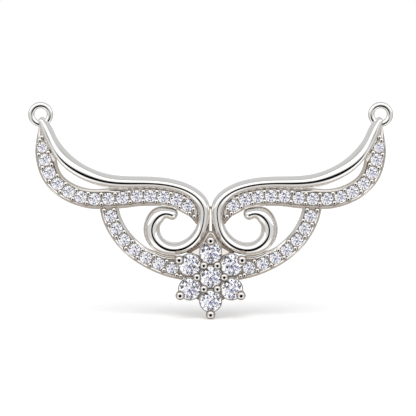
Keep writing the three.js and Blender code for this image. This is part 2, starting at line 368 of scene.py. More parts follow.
class PendantSizes(bpy.types.PropertyGroup):
    """Sizes of the pendant's pieces, in metres."""

    crest: length("Wire crest", "Depth of the scroll wire's crest, from the back", 1.88)
    dome: bpy.props.FloatProperty(
        name="Wire dome", description="Height of the dome as a share of the wire's half width",
        default=0.9, min=0.2, max=2.0)
    rim: length("Plate rim", "Depth of the stone plates' raised rims, from the back", 1.5)
    rim_width: length("Rim width", "Width of the raised rims", 0.36)
    grain: length("Grain radius", "Radius of the small balls that hold the row stones", 0.24)
    grain_side: length("Grain offset", "Distance of the grains from the middle of their row", 0.5)
    row_stone: length("Row stone", "Radius of the stones along the wings and arcs", 0.65)
    seat_gap: length("Seat gap", "Clearance between a stone and its seat", 0.02)
    loop_radius: length("Loop radius", "Radius of a chain loop to the middle of its wire", 0.98)
    loop_wire: length("Loop wire", "Half width of the loop's wire", 0.345)
    inner_prong: length("Inner prong", "Radius of the prongs between the flower's stones", 0.45)
    outer_prong: length("Outer prong", "Radius of the prongs round the flower", 0.5)
    prong_reach: length("Prong reach", "Distance of the inner prongs from the flower's middle", 1.43)


class PendantFinish(bpy.types.PropertyGroup):
    """Colours of the pendant and of the floor under it."""

    gold: bpy.props.FloatVectorProperty(
        name="White gold", description="Reflection colour of the polished metal",
        default=(0.93, 0.90, 0.865), **COLOUR)
    stone: bpy.props.FloatVectorProperty(
        name="Stone", description="Colour of light passed by the stones",
        default=(0.95, 0.95, 1.0), **COLOUR)
    # The colour of the painted shade in seats, grooves and crevices.
    recess: bpy.props.FloatVectorProperty(
        name="Recess", description="Duller, browner metal in the seats and grooves",
        default=(0.44, 0.36, 0.29), **COLOUR)
    floor: bpy.props.FloatVectorProperty(
        name="Floor", description="Colour of the floor",
        default=(0.8, 0.79, 0.78), **COLOUR)


class Socket:
    """A shader value that builds Math nodes when Python operators are used on it."""

    def __init__(self, tree, socket):
        self.tree = tree
        self.socket = socket

    def math(self, operation, *others):
        values = dict(enumerate((self, *others)))
        return self.tree.node("ShaderNodeMath", {"operation": operation}, values)

    def __add__(self, other):
        return self.math("ADD", other)

    def __radd__(self, other):
        return self.math("ADD", other)

    def __sub__(self, other):
        return self.math("SUBTRACT", other)

    def __rsub__(self, other):
        return (self * -1.0) + other

    def __mul__(self, other):
        return self.math("MULTIPLY", other)

    def __rmul__(self, other):
        return self.math("MULTIPLY", other)

    def __truediv__(self, other):
        return self.math("DIVIDE", other)

    def __pow__(self, other):
        return self.math("POWER", other)


class Tree:
    """A node tree with one method that makes any node."""

    def __init__(self, owner):
        owner.use_nodes = True
        self.tree = owner.node_tree
        self.tree.nodes.clear()

    def node(self, kind, settings=None, values=None, output=0):
        """Makes a node, applies its settings, then sets or links its sockets, and returns an output."""
        made = self.tree.nodes.new(kind)
        for key, value in (settings or {}).items():
            if key == "stops":
                ramp = made.color_ramp
                while len(ramp.elements) < len(value):
                    ramp.elements.new(1.0)
                for element, (position, colour) in zip(ramp.elements, value):
                    element.position = position
                    element.color = colour
            elif key == "interpolation":
                made.color_ramp.interpolation = value
            else:
                setattr(made, key, value)
        for key, value in (values or {}).items():
            if isinstance(value, Socket):
                self.tree.links.new(value.socket, made.inputs[key])
            else:
                made.inputs[key].default_value = value
        return Socket(self, made.outputs[output]) if made.outputs else None


def grid_faces(index):
    """Four-sided faces (m, 4) between neighbours in a grid of point numbers."""
    return np.stack([index[:-1, :-1], index[1:, :-1], index[1:, 1:], index[:-1, 1:]], -1).reshape(-1, 4)


class Skin:
    """Collects surfaces, with a share of painted shade at each point, and turns them into one mesh object.
    """

    def __init__(self):
        self.points = []
        self.recess = []
        self.corners = []
        self.sizes = []
        self.count = 0

    def add_faces(self, points, *faces, recess=0.0):
        """Adds points (..., 3) in millimetres and arrays of faces, each (m, k) for faces of k corners."""
        self.recess.append(np.broadcast_to(recess, points.shape[:-1]).ravel())
        self.points.append(points.reshape(-1, 3))
        for group in faces:
            self.corners.append((group + self.count).ravel())
            self.sizes.append(np.full(len(group), group.shape[1]))
        self.count += len(self.points[-1])

    def add_grid(self, points, closed_rows=False, cap=False, recess=0.0):
        """Adds rings of points (rows, columns, 3), each joined to the next by four-sided faces."""
        rows, columns = points.shape[:2]
        index = np.arange(rows * columns).reshape(rows, columns)
        ends = index[[0, -1]]
        index = np.vstack([index, index[:1]]) if closed_rows else index
        index = np.hstack([index, index[:, :1]])
        self.add_faces(points, grid_faces(index), *([ends] if cap else []), recess=recess)

    def build(self, name, material, nodes, smooth=None):
        """Makes the object, merges doubles, turns faces outwards and hides the nodes that it stands for."""
        points = np.concatenate(self.points) * MM
        corners = np.concatenate(self.corners)
        sizes = np.concatenate(self.sizes)
        mesh = bpy.data.meshes.new(name)
        mesh.vertices.add(len(points))
        mesh.vertices.foreach_set("co", points.ravel())
        mesh.loops.add(len(corners))
        mesh.loops.foreach_set("vertex_index", corners.astype(np.int32))
        mesh.polygons.add(len(sizes))
        mesh.polygons.foreach_set("loop_start", (np.cumsum(sizes) - sizes).astype(np.int32))
        mesh.update(calc_edges=True)
        mesh.validate()
        recess = mesh.attributes.new("recess", "FLOAT", "POINT")
        recess.data.foreach_set("value", np.concatenate(self.recess).astype(np.float32))
        work = bmesh.new()
        work.from_mesh(mesh)
        bmesh.ops.remove_doubles(work, verts=work.verts, dist=MERGE)
        bmesh.ops.dissolve_degenerate(work, edges=work.edges, dist=SLIVER)
        bmesh.ops.recalc_face_normals(work, faces=work.faces)
        work.to_mesh(mesh)
        work.free()
        mesh.polygons.foreach_set("use_smooth", np.full(len(mesh.polygons), smooth is not None))
        if smooth is not None:
            mesh.set_sharp_from_angle(angle=math.radians(smooth))
        mesh.materials.append(material)
        piece = bpy.data.objects.new(name, mesh)
        bpy.context.scene.collection.objects.link(piece)
        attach(piece, "root")
        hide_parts(*nodes)

    def build_metal(self, name, smooth):
        """Makes the object as polished metal that stands for the casting."""
        self.build(name, finished(polished_gold), ["cast_frame"], smooth)


def in_frame(x, depth, z):
    """Points from x, depth forwards from the flat back, and z, in millimetres."""
    return np.stack(np.broadcast_arrays(x, BACK - depth, z), -1)


def eased(value):
    """Smooth step from 0 to 1: 3t^2 - 2t^3 of the clipped value."""
    t = np.clip(value, 0, 1)
    return t * t * (3 - 2 * t)


def squarish(wave):
    """A sine or cosine to the power ROUND with its sign kept, which flattens the tops of a circle."""
    return np.sign(wave) * np.abs(wave) ** ROUND


def smooth_line(table, count):
    """Points, directions and widths at equal steps along the natural cubic spline through a table's rows.

    The spline's second derivatives solve the usual three-term equations on chord lengths.
    """
    knots = np.concatenate([[0], np.cumsum(np.hypot(*np.diff(table[:, :2], axis=0).T))])
    step = np.diff(knots)
    n = len(table)
    system = np.eye(n)
    inside = np.arange(1, n - 1)
    system[inside, inside - 1] = step[:-1]
    system[inside, inside] = 2 * (step[:-1] + step[1:])
    system[inside, inside + 1] = step[1:]
    slope = np.diff(table, axis=0) / step[:, None]
    pull = np.zeros_like(table)
    pull[1:-1] = 6 * np.diff(slope, axis=0)
    bend = np.linalg.solve(system, pull)

    def at(where):
        i = np.clip(np.searchsorted(knots, where) - 1, 0, n - 2)
        h = step[i][:, None]
        a = (knots[i + 1] - where)[:, None]
        b = (where - knots[i])[:, None]
        return (bend[i] * a**3 + bend[i + 1] * b**3) / (6 * h) + \
            (table[i] / h - bend[i] * h / 6) * a + (table[i + 1] / h - bend[i + 1] * h / 6) * b

    fine = np.linspace(0, knots[-1], 4000)
    travel = np.concatenate([[0], np.cumsum(np.hypot(*np.diff(at(fine)[:, :2], axis=0).T))])
    values = at(np.interp(np.linspace(0, travel[-1], count), travel, fine))
    along = np.gradient(values[:, :2], axis=0)
    along /= np.linalg.norm(along, axis=1, keepdims=True)
    return values[:, :2], along, values[:, 2:]


def carried(points, along, side, depth, mirror):
    """A section's points (side, depth) set square to a path: path point plus side times the left normal."""
    x = points[:, :1] - along[:, 1:] * side
    z = points[:, 1:] + along[:, :1] * side
    return in_frame(mirror * x, depth, z)


def scroll_wire(sizes, mirror):
    """The scroll wire: straight walls from the flat back under a half-ellipse dome, both ends rounded off.

    The dome leans by a slope across the wire and its crest keeps one depth. Beyond each end the half width
    follows a quarter circle, so the end is a half-round post with a ball top.
    """
    points, along, widths = smooth_line(SCROLL, WIRE_STATIONS)
    half, lean, share = widths.T
    shoulder = sizes.crest / MM - sizes.dome * share * half
    turn = np.linspace(0, WIRE_END_TURN, WIRE_END_STEPS + 1)[1:]
    head = np.flip(turn)
    points = np.concatenate([
        points[0] - along[0] * (half[0] * np.sin(head))[:, None],
        points,
        points[-1] + along[-1] * (half[-1] * np.sin(turn))[:, None],
    ])
    half = np.concatenate([half[0] * np.cos(head), half, half[-1] * np.cos(turn)])[:, None]
    along = np.pad(along, ((WIRE_END_STEPS, WIRE_END_STEPS), (0, 0)), mode="edge")
    lean, share, shoulder = (
        np.pad(column, WIRE_END_STEPS, mode="edge")[:, None] for column in (lean, share, shoulder))
    arc = np.linspace(0, np.pi, 37)
    reach, foot = WIRE_FOOT.T
    side = np.concatenate([np.cos(arc), -reach, np.flip(reach)])
    dome = shoulder + half * (sizes.dome * share * np.sin(arc) + lean * np.cos(arc))
    walls = np.tile(np.concatenate([foot, np.flip(foot)]), (len(half), 1))
    return carried(points, along, half * side, np.concatenate([dome, walls], axis=1), mirror)


def wire_gap(x, z):
    """Distance of points on the right half from the edge of the scroll wire."""
    points, _, widths = smooth_line(SCROLL, 240)
    return (np.hypot(x[..., None] - points[:, 0], z[..., None] - points[:, 1]) - widths[:, 0]).min(axis=-1)


def tip_fall(z):
    """How far the wing's front falls back at a height: a slope times the rise above its first stone."""
    return WING_TIP["slope"] * np.clip(z - WING_TIP["start"], 0, None)


def row_nodes(kind, side):
    """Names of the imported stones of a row, in order from its upper end."""
    return [f"{kind}_stone_{side}_{i:02d}" for i in range(1, STONE_ROWS[kind] + 1)]


def stone_places(kind, side):
    """Girdle centres (n, 2) of a row's stones from their packed boxes, and radii, less at a wing's ends."""
    boxes = np.array([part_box(node) for node in row_nodes(kind, side)]) / MM
    radii = np.full(len(boxes), bpy.context.scene.pendant_sizes.row_stone / MM)
    if kind == "wing":
        radii[[0, -1]] *= END_STONES
    return boxes.mean(axis=1)[:, [0, 2]], radii


def plate(table, stations, sizes, mirror, kind, side, sink):
    """A stone plate's points and painted shade: its front is the nearer rim's profile, cut by a cone at each
    stone.

    The cone falls from the stone's girdle at the slope of its pavilion, a seat gap away from it. Beside the
    scroll wire the bevel is wider and starts a crevice's width away. Towards the loop the front falls back
    at a slope and the painted shade fades. Painted shade darkens a ring round each seat, the crevice and the
    rims' grooves.
    """
    points, along, widths = smooth_line(table, stations)
    inner, outer = np.clip(widths, LEAST_WIDTH, None).T[:, :, None]
    scale = np.clip((inner + outer) / FULL_WIDTH, None, 1)
    rim = sizes.rim_width / MM
    lip = np.unique(np.concatenate([BEVEL[:, 0], BEAD[:, 0], RIM_LINES]))
    lip = lip / lip[-1] * rim
    middle = np.linspace(0, 1, FLOOR_LINES + 2)[1:-1]
    first, last = rim * scale - inner, outer - rim * scale
    across = np.concatenate([
        lip * scale - inner,
        first + (last - first) * middle,
        outer - np.flip(lip) * scale,
    ], axis=1)
    flat = carried(points, along, across, 0.0, mirror)
    gap = wire_gap(mirror * flat[..., 0], flat[..., 2])
    from_wire = np.where(across < 0, CREVICE["steepness"] * (gap - CREVICE["gap"]), 1.0)
    from_inner = np.minimum((across + inner) / scale, from_wire)
    from_outer = (outer - across) / scale

    def profile(column):
        return np.where(
            from_inner < from_outer,
            np.interp(from_inner, BEVEL[:, 0], BEVEL[:, column]),
            np.interp(from_outer, BEAD[:, 0], BEAD[:, column]))

    fall = tip_fall(flat[..., 2])
    front = carried(points, along, across, sizes.rim / MM - profile(1) - sink - fall, mirror)
    centres, radii = stone_places(kind, side)
    away = np.hypot(front[..., None, 0] - centres[:, 0], front[..., None, 2] - centres[:, 1])
    reach = (radii + sizes.seat_gap / MM - away).max(axis=-1)
    seat = np.where(reach > 0, GIRDLE["row"] - SEAT["slope"] * reach - SEAT["drop"], np.inf)
    front[..., 1] = np.maximum(front[..., 1], BACK - np.clip(seat, SEAT["least"], None))
    # Painted shade: a ring round each seat, the crevice beside the scroll wire and the rims' profile, less
    # at the tip.
    ring = SEAT["recess"] * eased((reach + SEAT["ring"]) / SEAT["edge"])
    recess = np.maximum(np.maximum(profile(2), ring), CREVICE["recess"] * (from_wire < 0))
    recess = recess * (1 - WING_TIP["shade_cut"] * eased(fall / WING_TIP["slope"]))
    chamfer = PLATE_BACK["chamfer"]
    foot = np.full_like(inner, PLATE_BACK["depth"] + sink)
    low = foot + chamfer
    back = np.concatenate([outer, outer - chamfer * scale, chamfer * scale - inner, -inner], axis=1)
    rear = carried(points, along, back, np.concatenate([low, foot, foot, low], axis=1), mirror)
    return np.concatenate([front, rear], axis=1), np.pad(recess, ((0, 0), (0, 4)))


def ball_grid(x, depth, z, radius, rows=13, columns=18):
    """A flattened squarish ball's points from polar and turning angles, with its poles front and back.

    Side and height are the squarish sine and cosine of the polar angle. Painted shade grows with that angle,
    so the sides are painted darker and browner, and rougher.
    """
    polar = np.linspace(0, np.pi, rows)[:, None]
    turn = np.linspace(0, 2 * np.pi, columns, endpoint=False)
    side = radius * squarish(np.sin(polar).clip(0))
    rise = GRAIN["height"] * radius * squarish(np.cos(polar))
    points = in_frame(x + side * np.cos(turn), depth + rise, z + side * np.sin(turn))
    return points, eased((polar - 0.65) / 0.3)


def turned_grid(profile, x, z, lean=(0.0, 0.0), nod=0.0, columns=32):
    """A profile of (radius, depth) turned about a post's axis, which may lean by a slope in x and z.

    The top quarter nods downwards: its depth grows with the height on the post by a slope.
    """
    radius, depth = profile.T[:, :, None]
    turn = np.linspace(0, 2 * np.pi, columns, endpoint=False)
    top = depth.max()
    return in_frame(
        x + lean[0] * (depth - top) + radius * np.cos(turn),
        depth + nod * np.where(depth > 0.75 * top, radius, 0.0) * np.sin(turn),
        z + lean[1] * (depth - top) + radius * np.sin(turn),
    )


def prong_profile(radius):
    """A prong's radius and depth, and its painted shade: a neck that swells into a squarish ball.

    Above the ball's middle, radius and height are the squarish cosine and sine of an angle. Painted shade
    grows up the neck and towards the ball's edge.
    """
    foot, ball, neck = PRONG["foot"], PRONG["ball"], PRONG["neck"]
    dull, edge = PRONG["foot_shade_and_dullness"], PRONG["edge_shade_and_dullness"]
    swell = np.linspace(0, 1, 10)
    arc = np.linspace(0, 0.5 * np.pi, 16)[1:]
    radii = np.concatenate([
        [0.0],
        radius * (neck + (1 - neck) * eased(swell)),
        radius * squarish(np.cos(arc).clip(0)),
    ])
    depth = np.concatenate([
        [foot],
        foot + (ball - foot) * swell,
        ball + PRONG["height"] * radius * squarish(np.sin(arc)),
    ])
    recess = np.concatenate([
        dull + (edge - dull) * np.linspace(0, 1, 11) ** 4,
        edge - edge * eased((arc - 0.68) / 0.6),
    ])
    return np.stack([radii, depth], -1), recess[:, None]


def flower_places():
    """Girdle centres (7, 2) of the flower's stones from their packed boxes, the middle one last."""
    return np.array([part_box(node) for node in FLOWER_NODES]).mean(axis=1)[:, [0, 2]] / MM


def flower_web():
    """The web behind the flower: rings of one outline about the flower's middle, with a hole at each stone.

    The outline's reach is read off a polygon by angle. Each ring is a share of that reach, from the middle
    of the front, over the edge, to the middle of the back. The web is painted with shade, least where the
    front falls back above the flower.
    """
    centres = flower_places()
    middle = centres[-1]
    corners = WEB - middle
    corners = np.concatenate([corners, corners[-2:0:-1] * (-1, 1)])
    angle = np.arctan2(corners[:, 0], corners[:, 1])
    order = np.argsort(angle)
    turn = np.linspace(-np.pi, np.pi, WEB_COLUMNS, endpoint=False)
    reach = np.interp(turn, angle[order], np.hypot(*corners.T)[order], period=2 * np.pi)
    share = np.concatenate([np.linspace(0.002, 0.985, WEB_RINGS), WEB_EDGE[:, 0]])[:, None]
    depth = np.concatenate([np.full(WEB_RINGS, WEB_FRONT["depth"]), WEB_EDGE[:, 1]])[:, None]
    x = middle[0] + share * reach * np.sin(turn)
    z = middle[1] + share * reach * np.cos(turn)
    away = np.hypot(x[..., None] - centres[:, 0], z[..., None] - centres[:, 1]).min(axis=-1)
    in_front = depth > 1.0
    fall = WEB_FRONT["fall"] * eased((z - WEB_FRONT["fall_z"]) / WEB_FRONT["ease"])
    depth = np.where(in_front, depth - fall, depth)
    depth = np.where((away < WEB_HOLE["radius"]) & in_front, WEB_HOLE["depth"], depth)
    shade_cut = WEB_FRONT["shade_cut"] * eased((z - WEB_FRONT["shade_cut_z"]) / WEB_FRONT["ease"])
    return in_frame(x, depth, z), 1 - shade_cut


def brilliant():
    """A round brilliant of radius 1: points (side, side, height), and facets by their number of corners.

    The bezels lie on planes of 34.5 degrees and the pavilion mains on planes of 40.75 degrees through the
    girdle, so the points between them follow from (1 - r cos 22.5) times the slope.
    """
    crown, pavilion = math.tan(math.radians(34.5)), math.tan(math.radians(40.75))
    table, star, lower, girdle = 0.57, 0.763, 0.23, 0.02
    eighth = np.arange(8) * np.pi / 4 + STONE_TURN
    between = eighth + np.pi / 8
    sixteenth = np.arange(16) * np.pi / 8 + STONE_TURN

    def ring(angles, radius, height):
        return np.stack([radius * np.cos(angles), radius * np.sin(angles), np.full(len(angles), height)], -1)

    cos_half = math.cos(math.pi / 8)
    points = np.concatenate([
        ring(eighth, table, girdle + (1 - table) * crown),
        ring(between, star, girdle + (1 - star * cos_half) * crown),
        ring(sixteenth, 1, girdle),
        ring(sixteenth, 1, -girdle),
        ring(between, lower, -girdle - (1 - lower * cos_half) * pavilion),
        [(0, 0, -girdle - pavilion)],
    ])
    star_at, rim_at, under_at, low_at, culet = 8, 16, 32, 48, 56
    k = np.arange(8)
    after = (k + 1) % 8
    edge, half, far = 2 * k, 2 * k + 1, 2 * after
    around = np.arange(16)
    beside = (around + 1) % 16
    triangles = np.concatenate([
        np.stack([k, after, star_at + k], -1),
        np.stack([star_at + k, rim_at + half, rim_at + edge], -1),
        np.stack([star_at + k, rim_at + far, rim_at + half], -1),
        np.stack([low_at + k, under_at + edge, under_at + half], -1),
        np.stack([low_at + k, under_at + half, under_at + far], -1),
    ])
    kites = np.concatenate([
        np.stack([after, star_at + k, rim_at + far, star_at + after], -1),
        np.stack([np.full(8, culet), low_at + after, under_at + far, low_at + k], -1),
        np.stack([rim_at + around, rim_at + beside, under_at + beside, under_at + around], -1),
    ])
    return points, triangles, kites, k[None]


def add_stone(skin, x, z, girdle, radius):
    """Sets a brilliant into a skin with its girdle at a depth and its table to the front."""
    points, *facets = brilliant()
    side, up, height = radius * points.T
    skin.add_faces(in_frame(x + side, girdle + height, z + up), *facets)


def polished_gold(finish):
    """Polished white gold: a mirror whose roughness wavers, with painted shade: darker, browner, rougher,
    gritty.
    """
    material = bpy.data.materials.new("polished_gold")
    tree = Tree(material)
    place = tree.node("ShaderNodeTexCoord", output="Object")
    recess = tree.node("ShaderNodeAttribute", {"attribute_name": "recess"}, output="Fac")
    cloud = tree.node("ShaderNodeTexNoise", {}, {"Vector": place, "Scale": 900.0, "Detail": 2.0})
    grit = tree.node("ShaderNodeTexNoise", {}, {"Vector": place, "Scale": 5000.0, "Detail": 1.0})
    # Painted shade: the shade attribute mixes the metal towards a dark brown colour where shade falls.
    colour = tree.node("ShaderNodeMix", {"data_type": "RGBA"}, {
        0: recess, 6: (*finish.gold, 1.0), 7: (*finish.recess, 1.0)}, output=2)
    bump = tree.node("ShaderNodeBump", {}, {
        "Strength": 1.0, "Distance": 0.015 * MM, "Height": grit * recess})
    shader = tree.node("ShaderNodeBsdfPrincipled", {}, {
        "Base Color": colour,
        "Metallic": 1.0,
        "Roughness": 0.015 + cloud * 0.03 + recess ** 1.5 * 0.5,
        "Normal": bump,
    })
    tree.node("ShaderNodeOutputMaterial", {}, {"Surface": shader})
    return material


def clear_stone(finish):
    """Clear faceted stone with a diamond's bending of light and a tint that drifts from stone to stone."""
    material = bpy.data.materials.new("clear_stone")
    tree = Tree(material)
    place = tree.node("ShaderNodeTexCoord", output="Object")
    drift = tree.node("ShaderNodeTexNoise", {}, {"Vector": place, "Scale": 700.0, "Detail": 1.0})
    tint = tree.node("ShaderNodeMix", {"data_type": "RGBA"}, {
        0: drift, 6: (*finish.stone, 1.0), 7: (1.0, 1.0, 1.0, 1.0)}, output=2)
    shader = tree.node("ShaderNodeBsdfPrincipled", {}, {
        "Base Color": tint,
        "Roughness": drift * 0.01,
        "IOR": 2.42,
        "Transmission Weight": 1.0,
    })
    tree.node("ShaderNodeOutputMaterial", {}, {"Surface": shader})
    return material


def floor_paint(finish):
    """Matte pale paint that glows a little, as a lit white floor does."""
    material = bpy.data.materials.new("floor_paint")
    tree = Tree(material)
    shader = tree.node("ShaderNodeBsdfPrincipled", {}, {
        "Base Color": (*finish.floor, 1.0),
        "Roughness": 0.9,
        "Specular IOR Level": 0.0,
        "Emission Color": (*finish.floor, 1.0),
        "Emission Strength": FLOOR["glow"],
    })
    tree.node("ShaderNodeOutputMaterial", {}, {"Surface": shader})
    return material


def finished(make):
    """The material that a function makes, made once."""
    return bpy.data.materials.get(make.__name__) or make(bpy.context.scene.pendant_finish)


class PENDANT_OT_scroll_wires(bpy.types.Operator):
    """Two polished scroll wires that run along the wings and end in curls."""

    bl_idname = "pendant.scroll_wires"
    bl_label = "Scroll Wires"

    def execute(self, context):
        skin = Skin()
        for mirror in SIDES.values():
            skin.add_grid(scroll_wire(context.scene.pendant_sizes, mirror), cap=True)
        skin.build_metal("scroll_wires", smooth=40)
        return {"FINISHED"}


class PENDANT_OT_stone_plates(bpy.types.Operator):
    """The wings' and the lower arcs' plates, with raised rims and a seat under every stone."""

    bl_idname = "pendant.stone_plates"
    bl_label = "Stone Plates"

    def execute(self, context):
        sizes = context.scene.pendant_sizes
        for kind, table, stations, sink in PLATES:
            skin = Skin()
            for side, mirror in SIDES.items():
                points, recess = plate(table, stations, sizes, mirror, kind, side, sink)
                skin.add_grid(points, cap=True, recess=recess)
            skin.build_metal(f"{kind}_plates", smooth=25)
        return {"FINISHED"}


class PENDANT_OT_grains(bpy.types.Operator):
    """Small metal balls in pairs between the row stones and singly at the rows' ends."""

    bl_idname = "pendant.grains"
    bl_label = "Grains"

    def execute(self, context):
        sizes = context.scene.pendant_sizes
        skin = Skin()
        for side, mirror in SIDES.items():
            spots = [END_GRAINS * (mirror, 1)]
            for kind in STONE_ROWS:
                centres, _ = stone_places(kind, side)
                step = np.diff(centres, axis=0)
                across = step[:, ::-1] * (-1, 1) / np.linalg.norm(step, axis=1, keepdims=True)
                middle = centres[:-1] + step / 2
                spots += [middle + across * sizes.grain_side / MM, middle - across * sizes.grain_side / MM]
            for x, z in np.concatenate(spots):
                points, recess = ball_grid(x, GRAIN["depth"] - tip_fall(z), z, sizes.grain / MM)
                skin.add_grid(points, recess=recess)
        skin.build_metal("grains", smooth=60)
        return {"FINISHED"}


class PENDANT_OT_flower_setting(bpy.types.Operator):
    """Cups under the flower's stones, and the ball-ended prongs that hold them."""

    bl_idname = "pendant.flower_setting"
    bl_label = "Flower Setting"

    def execute(self, context):
        sizes = context.scene.pendant_sizes
        centres = flower_places()
        middle = centres[-1]
        cups = Skin()
        for x, z in centres:
            points = turned_grid(CUP[:, :2], x, z, columns=48)
            cups.add_grid(points, closed_rows=True, recess=CUP[:, 2:])
        cups.build_metal("flower_cups", smooth=35)
        prongs = Skin()
        profile, recess = prong_profile(sizes.inner_prong / MM)
        for i in range(6):
            angle = i * math.pi / 3
            x, z = middle + sizes.prong_reach / MM * np.array((math.cos(angle), math.sin(angle)))
            prongs.add_grid(turned_grid(profile, x, z, nod=PRONG["nod"]), recess=recess)
        profile, recess = prong_profile(sizes.outer_prong / MM)
        for place in OUTER_PRONGS:
            lean = PRONG["lean"] * (place - middle) / np.linalg.norm(place - middle)
            prongs.add_grid(turned_grid(profile, *place, lean=lean, nod=PRONG["nod"]), recess=recess)
        prongs.build_metal("flower_prongs", smooth=50)
        return {"FINISHED"}


class PENDANT_OT_bridge(bpy.types.Operator):
    """The strip between the scroll wires, the web behind the flower, its arch and its two corner plates."""

    bl_idname = "pendant.bridge"
    bl_label = "Bridge and Web"

    def execute(self, context):
        skin = Skin()
        self.add_strip(skin)
        points, recess = flower_web()
        skin.add_grid(points, cap=True, recess=recess)
        self.add_arch(skin)
        for mirror in SIDES.values():
            self.add_corner(skin, mirror)
        skin.build_metal("bridge", smooth=35)
        return {"FINISHED"}

    def add_ridge(self, skin, points, along, half, front, back, recess):
        """A ridge along a path: side is the cosine of the angles across it, front its depth at each."""
        side = np.concatenate([np.cos(RIDGE), [-1, 1]])
        depth = np.pad(front, ((0, 0), (0, 2)), constant_values=back)
        skin.add_grid(carried(points, along, half * side, depth, 1), cap=True, recess=recess(side))

    def add_strip(self, skin):
        """A straight ridge that widens and rises downwards, with painted shade at its sides and across its
        top.
        """

        def down(pair):
            return np.linspace(*pair, STRIP_STATIONS)[:, None]

        def recess(side):
            top_shade = 1.0 - eased(down((-0.5, 9.5)))
            return np.maximum(0.2 + 0.8 * eased((np.abs(side) - 0.4) / 0.3), top_shade)

        points = np.pad(down(STRIP["z"]), ((0, 0), (1, 0)))
        along = np.tile((0.0, -1.0), (STRIP_STATIONS, 1))
        front = down(STRIP["shoulder"]) + STRIP["bulge"] * np.sin(RIDGE)
        self.add_ridge(skin, points, along, down(STRIP["half"]), front, STRIP["back"], recess)

    def add_arch(self, skin):
        """A ridge as high as its half width along the arch's line, with painted shade at its sides."""

        def recess(side):
            return 0.6 * eased((np.abs(side) - 0.7) / 0.25)

        points, along, half = smooth_line(ARCH, ARCH_STATIONS)
        front = ARCH_DEPTH["shoulder"] + half * np.sin(RIDGE)
        self.add_ridge(skin, points, along, half, front, ARCH_DEPTH["back"], recess)

    def add_corner(self, skin, mirror):
        """A three-cornered plate: rings of one outline whose depth falls with height by a slope."""
        share, drop, recess = CORNER_RINGS.T[:, :, None]
        centre = CORNER.mean(axis=0)
        x, z = np.moveaxis(centre + share[..., None] * (CORNER - centre), -1, 0)
        depth = CORNER_FACE["depth"] + CORNER_FACE["slope"] * (z - CORNER_FACE["z"]) - drop
        skin.add_grid(in_frame(mirror * x, depth, z), cap=True, recess=recess)


class PENDANT_OT_chain_loops(bpy.types.Operator):
    """Closed loops of squarish round wire at the wing tips."""

    bl_idname = "pendant.chain_loops"
    bl_label = "Chain Loops"

    def execute(self, context):
        sizes = context.scene.pendant_sizes
        turn = np.linspace(0, 2 * np.pi, 96, endpoint=False)[:, None]
        round_wire = np.linspace(0, 2 * np.pi, 36, endpoint=False)
        radius = (sizes.loop_radius + sizes.loop_wire * squarish(np.cos(round_wire))) / MM
        depth = BACK + LOOP["depth"] * sizes.loop_wire / MM * squarish(np.sin(round_wire))
        skin = Skin()
        for mirror in SIDES.values():
            points = in_frame(mirror * LOOP["x"] + radius * np.cos(turn), depth, radius * np.sin(turn))
            skin.add_grid(points, closed_rows=True)
        skin.build_metal("chain_loops", smooth=60)
        return {"FINISHED"}


class PENDANT_OT_stones(bpy.types.Operator):
    """Round brilliants along the wings and arcs and in the flower."""

    bl_idname = "pendant.stones"
    bl_label = "Stones"

    def execute(self, context):
        for kind in STONE_ROWS:
            skin = Skin()
            nodes = []
            for side in SIDES:
                centres, radii = stone_places(kind, side)
                for (x, z), radius in zip(centres, radii):
                    add_stone(skin, x, z, GIRDLE["row"], radius)
                nodes += row_nodes(kind, side)
            skin.build(f"{kind}_stones", finished(clear_stone), nodes)
        skin = Skin()
        for node in FLOWER_NODES:
            low, high = np.array(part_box(node)) / MM
            x, _, z = (low + high) / 2
            add_stone(skin, x, z, GIRDLE["flower"], (high[0] - low[0]) / 2)
        skin.build("flower_stones", finished(clear_stone), FLOWER_NODES)
        return {"FINISHED"}


